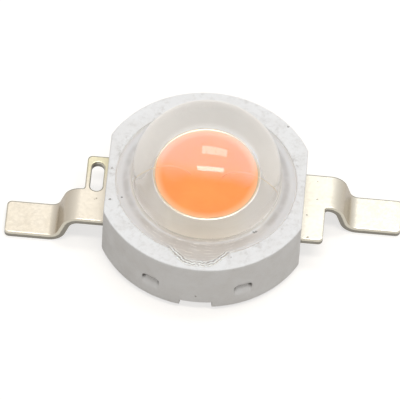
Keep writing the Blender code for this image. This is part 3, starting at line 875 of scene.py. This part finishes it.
def ppa_skin(tree, place, cloud, dents):
    """The colour of the bare skin: mottled, specked, scuffed by the recess, smudged, with painted shade in
    marks.
    """
    height = add_node(tree, "SeparateXYZ", [place])["Z"]
    blots = pattern(tree, place, "Noise", 0.22, Detail=4.0, Roughness=0.7)
    shade_in_marks = add_node(tree, "Attribute", attribute_name="painted_mark_shade")["Fac"]
    by_recess = (from_axis(tree, place), recess_radius + SCUFFED_WIDTH, recess_radius)
    on_top = (height, body_top - 0.2, body_top - 0.05, 0.3, 1.0)
    return layered(
        tree,
        "#FCFCFC",
        ("#F7F6F5", (cloud, 0.35, 0.7)),
        ("#7D756D", spots(tree, place, BODY_SPECKS), 0.7),
        ("#BFBAB4", (dents, 0.5, 0.75), by_recess, 0.7),
        ("#DAD7D3", (blots, 0.45, 0.75, 0.0, 0.45), on_top),
        # painted shade under the upper edges of the mould marks
        ("#4A443E", shade_in_marks),
    )


def wetted_skin_and_painted_light(tree, place):
    """The colour under the silicone: wet plastic with painted light and shade by height and round the cup."""
    axes = add_node(tree, "SeparateXYZ", [place])
    sideways = off_line(tree, axes["X"])
    on_seat = (axes["Z"], seat_z - 0.15, seat_z - 0.05)
    painted_shade_by_cup = (from_axis(tree, place), 1.9, 1.6, 0.0, 0.12)
    return layered(
        tree,
        "#E9E1D7",
        # The wet plastic's own tone is the base. Over it: painted shade on the seat, painted light at both
        # sides below the seat, painted shade behind, and a faint painted shade round the cup, short of its
        # back.
        ("#D9CFC3", on_seat),
        ("#FFFFFF", (sideways, 0.7, 2.0), (*on_seat, 1.0, 0.0)),
        ("#CECBC7", (axes["Y"], -0.5, 2.3)),
        ("#A8A39C", painted_shade_by_cup, (axes["Y"], 1.5, 0.9)),
    )


def make_ppa():
    """Moulded white PPA: a satin skin with clouds 0.7 mm wide, dents 0.33 mm wide and a grain of 0.05 mm."""
    material, tree, place = new_material("moulded white PPA")
    cloud = pattern(tree, place, "Noise", 0.7, Detail=4.0, Roughness=0.6)
    dents = pattern(tree, place, "Noise", 0.33, Detail=5.0, Roughness=0.68)
    grain = pattern(tree, place, "Noise", 0.05)
    wetted = add_node(tree, "Attribute", attribute_name="wetted")["Fac"]
    relief = add_node(tree, "Math", [grain, 0.15, dents], operation="MULTIPLY_ADD")[0]
    bump = add_node(tree, "Bump", {"Height": relief, "Strength": 0.25, "Distance": 0.03 * MM})
    inputs = {
        "Base Color": layered(tree, ppa_skin(tree, place, cloud, dents), (wetted_skin_and_painted_light(tree, place), wetted)),
        "Roughness": mask(tree, (cloud, 0.3, 0.7, 0.48, 0.6)),
        "IOR": 1.5,
        "Specular IOR Level": 0.35,
        "Normal": bump[0],
    }
    return finished(material, add_node(tree, "BsdfPrincipled", inputs)[0])


ppa = make_ppa()

# %% [markdown]
# The leads and the slug are copper with a silver plate that has yellowed a little. A plated face is pale,
# soft and slightly warm. A sheared edge has lost its plate: a bright burnished band on top and a dark torn
# one under it. The leads' bends carry a painted shade. The slug is tarnished, and a pale, dull coat of
# painted light on its cup's outside lifts the shade round the cup.

# %% Silver plate
LEAD_SPECKS = [
    (3.74, -0.36, 1.45, 0.05),
    (3.85, -1.38, 1.45, 0.07),
    (4.07, 0.35, 1.45, 0.05),
    (4.02, 1.16, 1.45, 0.04),
    (-3.93, -0.46, 1.45, 0.05),
    (-4.0, -0.5, 1.45, 0.04),
]
BARE_BELOW, PLATED_ABOVE = 0.4, 0.48


def silver_plate(name):
    """What both silver finishes share: the material, tree and place, its streaks and its shader's inputs."""
    material, tree, place = new_material(name)
    haze = pattern(tree, place, "Noise", 1.1, Detail=3.0, Roughness=0.55)
    streaks = pattern(tree, place, "Noise", 0.12, Detail=3.0, Roughness=0.6)
    waves = pattern(tree, place, "Noise", 0.5)
    on_right = (add_node(tree, "SeparateXYZ", [place])["X"], -3.0, 3.0)
    fresh = layered(tree, "#E2D9C9", ("#F3EEE0", on_right))
    yellowed = layered(tree, "#DCD2C0", ("#EEE8D8", on_right))
    relief = add_node(tree, "Math", [waves, 2.0, streaks], operation="MULTIPLY_ADD")[0]
    bump = add_node(tree, "Bump", {"Height": relief, "Strength": 0.12, "Distance": 0.02 * MM})
    inputs = {
        "Base Color": layered(tree, fresh, (yellowed, (haze, 0.3, 0.7))),
        "Metallic": 1.0,
        "Roughness": mask(tree, (streaks, 0.3, 0.7, 0.3, 0.42)),
        "Normal": bump[0],
    }
    return material, tree, place, streaks, inputs


def make_lead_silver():
    """Plate on stamped strip: painted shade in its bends, stained on one tab, bare and dull at its edges.

    The cut edge is where a point's share of the thickness is near enough to a half to be off both faces.
    """
    material, tree, place, streaks, inputs = silver_plate("silver-plated copper strip")
    axes = add_node(tree, "SeparateXYZ", [place])
    through, painted_bend_shade, edge_line = (
        add_node(tree, "Attribute", attribute_name=kept)["Fac"]
        for kept in ("through", "painted_bend_shade", "edge_line")
    )
    off_middle = off_line(tree, through, 0.5)
    wavy = add_node(tree, "Math", [streaks, 0.2, through], operation="MULTIPLY_ADD")[0]
    cut = layered(tree, "#C9C5B8", ("#85827A", (wavy, 0.75, 0.6)))
    inputs["Base Color"] = layered(
        tree,
        inputs["Base Color"],
        ("#D6CFA2", (axes["Y"], 0.0, 1.1, 0.0, 0.5), (axes["X"], -3.4, -3.6)),
        # painted shade in the bends
        ("#A49B8E", painted_bend_shade),
        (cut, (off_middle, PLATED_ABOVE, BARE_BELOW)),
        ("#7C7B70", edge_line, 0.9),
        ("#8B8474", spots(tree, place, LEAD_SPECKS), 0.75),
    )
    return finished(material, add_node(tree, "BsdfPrincipled", inputs)[0])


def make_slug_silver():
    """Tarnished plate, with a pale, dull coat of painted light on the cup's outside, paler and less dull at
    both sides.
    """
    material, tree, place, _, inputs = silver_plate("silver-plated turned copper")
    axes = add_node(tree, "SeparateXYZ", [place])
    sideways = off_line(tree, axes["X"])
    above = add_node(tree, "Math", [axes["Z"], SLUG_SHOULDER_TOP], operation="GREATER_THAN")[0]
    radius = from_axis(tree, place)
    outside = mask(tree, (radius, CUP_OUTER_RADIUS - 0.03, CUP_OUTER_RADIUS - 0.005), above)
    # Painted light: a pale, dull coat that lifts the shade on the cup's outside, paler and less dull at both
    # sides.
    painted_light_coat = layered(tree, "#FEF9F0", ("#FFFCFB", (sideways, 0.8, 1.4)))
    inputs["Base Color"] = layered(tree, inputs["Base Color"], ("#BDA688", 0.85), (painted_light_coat, outside))
    covered = mask(tree, outside, (axes["X"], -0.6, -1.3, 1.0, 0.6), (axes["X"], 0.8, 1.4, 1.0, 0.8))
    inputs["Metallic"] = add_node(tree, "Math", [1.0, covered], operation="SUBTRACT")[0]
    return finished(material, add_node(tree, "BsdfPrincipled", inputs)[0])


lead_silver, slug_silver = make_lead_silver(), make_slug_silver()

# %% [markdown]
# The phosphor is an orange powder in silicone: a soft, even colour that scatters light, with the powder's
# grain. The powder's real grain is too fine to show, so it is drawn 0.08 mm coarse.

# %% Phosphor paste
THIN_PASTE_WIDTH = 0.22


def make_phosphor_paste():
    """Orange paste, clouded and grained, and paler at its edge, where it lies thin on the cup's wall."""
    material, tree, place = new_material("orange phosphor paste")
    grain = pattern(tree, place, "Noise", 0.08)
    cloud = pattern(tree, place, "Noise", 0.9)
    thin = (from_axis(tree, place), CUP_MOUTH_RADIUS - THIN_PASTE_WIDTH, CUP_MOUTH_RADIUS)
    colour = layered(
        tree,
        "#F79442",
        ("#F28C3C", (cloud, 0.3, 0.7)),
        ("#EE7F30", (grain, 0.35, 0.75, 0.0, 0.25)),
        ("#FBBE93", thin, 0.7),
    )
    bump = add_node(tree, "Bump", {"Height": grain, "Strength": 0.1, "Distance": 0.01 * MM})
    inputs = {"Base Color": colour, "Roughness": 0.6, "IOR": 1.41, "Normal": bump[0]}
    return finished(material, add_node(tree, "BsdfPrincipled", inputs)[0])


phosphor_paste = make_phosphor_paste()

# %% [markdown]
# The dome's flange is scuffed, and a film of haze hides what lies below it. The film's colour holds painted
# light and shade: darker in front, paler behind and at both sides, with a painted shade round the dome's
# foot.
# Its rings in front are painted highlights, and the ripples along the edge of the tongue, where the skin
# wrinkled as it cured, are painted highlights and shade. The lines are too fine to model, so they are
# colours, and the sine of a distance repeats them.

# %% Film on the flange
FOOT_SHADE_RADIUS = 2.92
RIPPLE_LENGTH, RING_LENGTH = 0.11, 0.13
FLANGE_SPECKS = [
    (1.9, -2.12, 2.5, 0.06),
    (1.97, -2.08, 2.5, 0.06),
    (-2.98, -1.07, 2.5, 0.05),
    (-0.47, 2.8, 2.5, 0.05),
]


def waves_along(tree, value, wander, most, length):
    """The socket of a sine with a turn for each length of the value plus its wander times the most."""
    value = add_node(tree, "Math", [wander, most, value], operation="MULTIPLY_ADD")[0]
    turns = add_node(tree, "Math", [value, 2 * np.pi / length], operation="MULTIPLY")[0]
    return add_node(tree, "Math", [turns], operation="SINE")[0]


def flange_film_and_painted_light(tree, place, scuffs):
    """The film's colour: streaks and specks, and painted light and shade by place, at the foot, in ripples
    and rings.
    """
    axes = add_node(tree, "SeparateXYZ", [place])
    sideways = off_line(tree, axes["X"])
    radius = from_axis(tree, place)
    off_foot_shade = off_line(tree, radius, FOOT_SHADE_RADIUS)
    broad = pattern(tree, place, "Noise", 0.7)
    streaks = pattern(tree, place, "Noise", 0.4, Detail=4.0, Roughness=0.65)
    wander = pattern(tree, place, "Noise", 0.25, Detail=3.0, Roughness=0.6)
    from_wall = add_node(tree, "Attribute", attribute_name="from_wall")["Fac"]
    ripple_highlights_and_shade = waves_along(tree, from_wall, wander, 0.25, RIPPLE_LENGTH)
    rings = waves_along(tree, radius, broad, 0.3, RING_LENGTH)
    near_tip = mask(tree, (axes["Y"], -2.9, -3.3), (from_wall, 0.3, 0.15))
    in_front = mask(tree, (axes["Y"], -1.8, -2.6, 0.0, 0.8), (scuffs, 0.42, 0.62))
    return layered(
        tree,
        "#D3C9BE",
        # painted light and shade: darker in front, paler behind and at both sides
        ("#E2DFDC", (axes["Y"], -3.0, 3.0)),
        ("#EEE8E2", (sideways, 0.8, 2.6, 0.0, 0.6)),
        # painted shade round the dome's foot
        ("#A89B8E", (off_foot_shade, 0.2, 0.02), (broad, 0.2, 0.6), (sideways, 1.4, 2.6, 0.3, 0.6)),
        ("#DEDAD4", (streaks, 0.45, 0.75, 0.0, 0.4)),
        ("#6B6259", spots(tree, place, FLANGE_SPECKS), 0.9),
        # painted highlights and shade of the ripples near the tongue's tip
        ("#FFFFF6", (ripple_highlights_and_shade, 0.0, 0.7), near_tip),
        ("#96897B", (ripple_highlights_and_shade, -0.4, -0.9), near_tip),
        # painted highlights of the rings in front
        ("#EEE6DA", (rings, 0.3, 1.0), in_front),
    )


# %% [markdown]
# The casting is clear silicone: smooth, with an index of 1.41, so it bends light a little less than window
# glass. The film is mixed over it on the flange. The renderer can't aim at a lamp through glass, so rays that
# look for a lamp pass straight through it.

# %% Clear silicone
FLANGE_HAZE = 0.8


def make_silicone():
    """Clear glass with the dull film over it on the flange. A ray that seeks a lamp meets nothing."""
    material, tree, place = new_material("clear cast silicone")
    height = add_node(tree, "SeparateXYZ", [place])["Z"]
    scuffs = pattern(tree, place, "Noise", 0.3, Detail=4.0, Roughness=0.6)
    flange = mask(tree, (height, body_top + 0.2, body_top + 0.05))
    dents = mask(tree, scuffs, flange)
    bump = add_node(tree, "Bump", {"Height": dents, "Strength": 0.5, "Distance": 0.04 * MM})
    glass_inputs = {"Base Color": "#FDFCFA", "Roughness": 0.02, "IOR": 1.41, "Transmission Weight": 1.0}
    glass = add_node(tree, "BsdfPrincipled", glass_inputs)[0]
    dull_inputs = {
        "Base Color": flange_film_and_painted_light(tree, place, scuffs),
        "Roughness": 0.45,
        "Specular IOR Level": 0.1,
        "Normal": bump[0],
    }
    dull = add_node(tree, "BsdfPrincipled", dull_inputs)[0]
    hazed = mask(tree, flange, FLANGE_HAZE)
    cast = add_node(tree, "MixShader", [hazed, glass, dull])[0]
    clear = add_node(tree, "BsdfTransparent", {"Color": "#FFFFFF"})[0]
    seeking_lamp = add_node(tree, "LightPath")["Is Shadow Ray"]
    return finished(material, add_node(tree, "MixShader", [seeking_lamp, cast, clear])[0])


silicone = make_silicone()

# %% [markdown]
# Three finishes are hidden or tiny. Gold wire is pale here, and dusted with phosphor inside the cup, so that
# it shows as little as it does on the real one. The chip is polished sapphire with fine gold lines. The glue
# under it is epoxy filled with silver flakes, drawn 0.02 mm wide.

# %% Gold, chip and glue


def make_gold():
    """Worn gold, which turns to the phosphor's orange over the cup."""
    material, tree, place = new_material("gold bond wire")
    worn = pattern(tree, place, "Noise", 0.06)
    dusted = mask(tree, (from_axis(tree, place), CUP_MOUTH_RADIUS + 0.1, CUP_MOUTH_RADIUS))
    colour = layered(tree, "#F0E2CA", ("#E6D3B4", worn), ("#FFB27C", dusted))
    inputs = {"Base Color": colour, "Metallic": mask(tree, (dusted, 0.0, 1.0, 1.0, 0.0)), "Roughness": 0.45}
    return finished(material, add_node(tree, "BsdfPrincipled", inputs)[0])


def make_chip():
    """Polished sapphire with gold contact lines."""
    material, tree, place = new_material("sapphire chip")
    lines = pattern(tree, place, "Wave", 0.4)
    colour = layered(tree, "#C2C8CA", ("#E6D9A8", (lines, 0.8, 0.95)))
    inputs = {"Base Color": colour, "Roughness": 0.12, "IOR": 1.77}
    return finished(material, add_node(tree, "BsdfPrincipled", inputs)[0])


def make_glue():
    """Epoxy with flakes of silver, partly metallic."""
    material, tree, place = new_material("silver-filled epoxy")
    flakes = pattern(tree, place, "Voronoi", 0.02, output="Distance")
    colour = layered(tree, "#C9C6BE", ("#A29E94", (flakes, 0.2, 0.7)))
    inputs = {"Base Color": colour, "Metallic": 0.6, "Roughness": 0.45}
    return finished(material, add_node(tree, "BsdfPrincipled", inputs)[0])


gold, chip, glue = make_gold(), make_chip(), make_glue()

# %% [markdown]
# Each piece takes its finish, rides on the part's one body, and stands for the plain solid that it replaces.
# The chip and its glue are flat blocks, so their solids stay and only take a finish.

# %% Put the finishes on
NEW_PIECES = [
    (body, ppa, "housing", "white_ppa"),
    (slug, slug_silver, "heat_slug", "silver_plated_copper"),
    (phosphor, phosphor_paste, "phosphor_fill", "phosphor"),
    (lens, silicone, "silicone_lens", "clear_silicone"),
    (anode, lead_silver, "anode_lead", "silver_plated_lead"),
    (cathode, lead_silver, "cathode_lead", "silver_plated_lead"),
    (anode_wire, gold, "anode_bond_wire", "gold_wire"),
    (cathode_wire, gold, "cathode_bond_wire", "gold_wire"),
]
for piece, material, node, slot in NEW_PIECES:
    piece.data.materials.append(material)
    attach(piece, "root")
    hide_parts(node)
for node, material in (("led_die", chip), ("die_attach", glue)):
    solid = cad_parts[node]
    solid.data.materials.clear()
    solid.data.materials.append(material)
print(len(NEW_PIECES), "new pieces")

# %% [markdown]
# The part stands a hair over a pale table, in front of white. Rays from the camera, and those that mirrors
# and glass send on, meet white, but the table still darkens where the part takes its light.

# %% Floor and surroundings
FLOOR_HALF = 1000
FLOOR_TOP_UP = 0.68
AMBIENT = 0.39


def unscattered(tree):
    """The socket that is 1 for a ray that has met no matte surface yet: its depth is less than a half."""
    depth = add_node(tree, "LightPath")["Diffuse Depth"]
    return add_node(tree, "Math", [depth, 0.5], operation="LESS_THAN")[0]


def white_to_eye(tree):
    """The socket that is 1 for such rays from the camera, from a mirror or through glass."""
    rays = add_node(tree, "LightPath")
    seen = rays["Is Camera Ray"]
    for kind in ("Is Glossy Ray", "Is Transmission Ray"):
        seen = add_node(tree, "Math", [seen, rays[kind]], operation="MAXIMUM")[0]
    return mask(tree, seen, unscattered(tree))


def make_floor():
    """A large square just under the part, matte, with a glow for the eye that tops its light up to white."""
    corners = np.array([[-1, -1, 0], [1, -1, 0], [1, 1, 0], [-1, 1, 0]]) * FLOOR_HALF - [0, 0, CLEARANCE]
    floor = put_mesh("floor", corners, [np.array([[0, 1, 2, 3]])])
    material, tree, _ = new_material("pale table")
    matte = add_node(tree, "BsdfDiffuse", {"Color": "#BBB5AD"})[0]
    glow_inputs = {"Color": "#FFFFFF", "Strength": mask(tree, white_to_eye(tree), FLOOR_TOP_UP)}
    glow = add_node(tree, "Emission", glow_inputs)[0]
    both = add_node(tree, "AddShader", [matte, glow])[0]
    floor.data.materials.append(finished(material, both))


def light_world(scene):
    """A soft pale light all round that is plain white to the eye."""
    scene.world = scene.world or bpy.data.worlds.new("studio")
    scene.world.use_nodes = True
    tree = scene.world.node_tree
    tree.nodes.clear()
    soft = add_node(tree, "Background", {"Color": "#F7F7F6", "Strength": AMBIENT})[0]
    white = add_node(tree, "Background", {"Color": "#FFFFFF", "Strength": 1.0})[0]
    surroundings = add_node(tree, "MixShader", [white_to_eye(tree), soft, white])[0]
    add_node(tree, "OutputWorld", {"Surface": surroundings})
    print(f"surroundings of {AMBIENT} on the part, white to the eye")


scene = bpy.context.scene
make_floor()
light_world(scene)

# %% [markdown]
# Two long lamps hang over the part. Their mirror images are the two streaks in the dome, which is how their
# places were found: one in front of the zenith and one just behind it.

# %% Lamps
LAMPS_AIM = np.array([0, 0, 3.0])


def placed(obj, right, up, back, point):
    """Puts an object at a point in millimetres with these axes."""
    axes = np.column_stack([right, up, back, np.asarray(point) * MM])
    obj.matrix_world = Matrix([*axes.tolist(), [0, 0, 0, 1]])
    bpy.context.scene.collection.objects.link(obj)
    return obj


def hang_lamp(name, sideways, frontwards, height, width, depth, radiance, turn=0.0):
    """A flat level lamp over the part, at these angles from the zenith, turned by an angle.

    Its power is its radiance times its area times pi.
    """
    lamp = bpy.data.lights.new(name, "AREA")
    lamp.shape = "RECTANGLE"
    lamp.size, lamp.size_y = width * MM, depth * MM
    lamp.energy = radiance * width * depth * MM**2 * np.pi
    point = LAMPS_AIM + height * np.array([np.tan(np.radians(sideways)), -np.tan(np.radians(frontwards)), 1])
    a = np.radians(turn)
    right, up = np.array([np.cos(a), np.sin(a), 0]), np.array([-np.sin(a), np.cos(a), 0])
    obj = placed(bpy.data.objects.new(name, lamp), right, up, np.array([0, 0, 1]), point)
    obj.visible_camera = False
    print(f"{name}: {width} x {depth} mm, {lamp.energy:.3f} W")
    return obj


hang_lamp("front_strip", 5.7, 14.2, 300, 195, 38, 13.5)
hang_lamp("back_strip", 8, -12.5, 300, 165, 60, 7.2)

# %% [markdown]
# The dome also mirrors the ceiling, as a pale veil over the back half of the phosphor. A dim card stands in
# for it, which shows in the dome alone and lights nothing. Sizes on the card are shares of its width and
# depth.

# %% Veil in the dome
VEIL_SIDE_EDGE, VEIL_BACK_EDGE = 0.3, 0.26
VEIL_FRONT_START, VEIL_FRONT_EDGE, VEIL_SIDE_SOFTNESS = 0.187, 0.195, 4.7
VEIL_FAR_GAIN = 0.46
VEIL_LINE = 0.42
VEIL_RIGHT_BOW, VEIL_LEFT_BOW, VEIL_LEFT_BOW_MOST, VEIL_LEFT_SOFTNESS = 2.3, 1.4, 0.17, 3.0
VEIL_NEUTRAL_FROM, VEIL_NEUTRAL_TO = 0.66, 0.88


def veil_front(tree, across, along):
    """Sockets of the distance behind the veil's front edge and of that edge's width.

    Right of a line the edge bows to the front with the square of the distance from that line. Left of it the
    edge goes to the front evenly, up to a limit. It is softer towards both sides, most of all on the left.
    """
    right, left = (
        add_node(tree, "Math", [first, second], operation="SUBTRACT", use_clamp=True)[0]
        for first, second in ((across, VEIL_LINE), (VEIL_LINE, across))
    )
    inputs = [mask(tree, left, VEIL_LEFT_BOW), VEIL_LEFT_BOW_MOST]
    left_bow = add_node(tree, "Math", inputs, operation="MINIMUM")[0]
    inputs = [mask(tree, right, right), VEIL_RIGHT_BOW, left_bow]
    bow = add_node(tree, "Math", inputs, operation="MULTIPLY_ADD")[0]
    behind = add_node(tree, "Math", [along, VEIL_FRONT_START], operation="SUBTRACT")[0]
    behind = add_node(tree, "Math", [behind, bow], operation="ADD")[0]
    inputs = [off_line(tree, across, 0.5), VEIL_SIDE_SOFTNESS * VEIL_FRONT_EDGE, VEIL_FRONT_EDGE]
    width = add_node(tree, "Math", inputs, operation="MULTIPLY_ADD")[0]
    inputs = [left, VEIL_LEFT_SOFTNESS, width]
    return behind, add_node(tree, "Math", inputs, operation="MULTIPLY_ADD")[0]


def make_veil(card):
    """Lets a card with soft edges show as a mirror image in the dome, and light nothing.

    It is brighter towards its back, and bluish in front and neutral behind.
    """
    card.data.use_nodes = True
    tree = card.data.node_tree
    over_card = add_node(tree, "NewGeometry")["Parametric"]
    axes = add_node(tree, "SeparateXYZ", [over_card])
    across, along = axes["X"], axes["Y"]
    gain = add_node(tree, "Math", [along, VEIL_FAR_GAIN, 1.0], operation="MULTIPLY_ADD")[0]
    behind, width = veil_front(tree, across, along)
    sides = (across, 0.0, VEIL_SIDE_EDGE), (across, 1.0, 1 - VEIL_SIDE_EDGE)
    ends = (behind, 0.0, width), (along, 1.0, 1 - VEIL_BACK_EDGE)
    emission = tree.nodes["Emission"]
    tree.links.new(mask(tree, gain, unscattered(tree), *sides, *ends), emission.inputs["Strength"])
    tint = layered(tree, "#9CCFFF", ("#B8BABC", (along, VEIL_NEUTRAL_FROM, VEIL_NEUTRAL_TO)))
    tree.links.new(tint, emission.inputs["Color"])
    card.visible_diffuse = card.visible_transmission = False
    mirror = bpy.data.collections.new("mirrors_the_ceiling")
    mirror.objects.link(lens)
    card.light_linking.receiver_collection = mirror


make_veil(hang_lamp("ceiling", 0, -9.3, 400, 3040, 1068, 6.0, turn=4.6))

# %% [markdown]
# The camera stands where the photo's did: a long lens, 54 degrees up and turned a little. Its distance,
# angles and roll come from fitting the body's outline in the photo.

# %% Camera
CAMERA_DISTANCE = 271.4
CAMERA_AZIMUTH, CAMERA_ELEVATION, CAMERA_ROLL = np.radians([1.7, 54.13, -3.6])
CAMERA_AIM = np.array([0, 0, 2.0])
AIM_RIGHT, AIM_UP = -0.181, -0.42
PIXELS_PER_MM = 27.5
PICTURE_PIXELS = 400


def add_camera():
    """A camera at an azimuth and an elevation round its aim, turned by its roll.

    Its lens is the distance times the picture's scale, as a share of the picture, times the sensor's width.
    """
    data = bpy.data.cameras.new("camera")
    data.sensor_width = 36
    data.lens = PIXELS_PER_MM * CAMERA_DISTANCE / PICTURE_PIXELS * data.sensor_width
    data.clip_start = 0.01
    sine, cosine = np.sin(CAMERA_AZIMUTH), np.cos(CAMERA_AZIMUTH)
    level = np.cos(CAMERA_ELEVATION)
    back = np.array([sine * level, -cosine * level, np.sin(CAMERA_ELEVATION)])
    right = np.array([cosine, sine, 0])
    up = np.cross(back, right)
    eye = CAMERA_AIM + right * AIM_RIGHT + up * AIM_UP + back * CAMERA_DISTANCE
    turned_right = right * np.cos(CAMERA_ROLL) - up * np.sin(CAMERA_ROLL)
    turned_up = right * np.sin(CAMERA_ROLL) + up * np.cos(CAMERA_ROLL)
    scene.camera = placed(bpy.data.objects.new("camera", data), turned_right, turned_up, back, eye)
    print(f"camera: a {data.lens:.0f} mm lens {CAMERA_DISTANCE} mm away")


add_camera()
scene.view_settings.view_transform = "Standard"
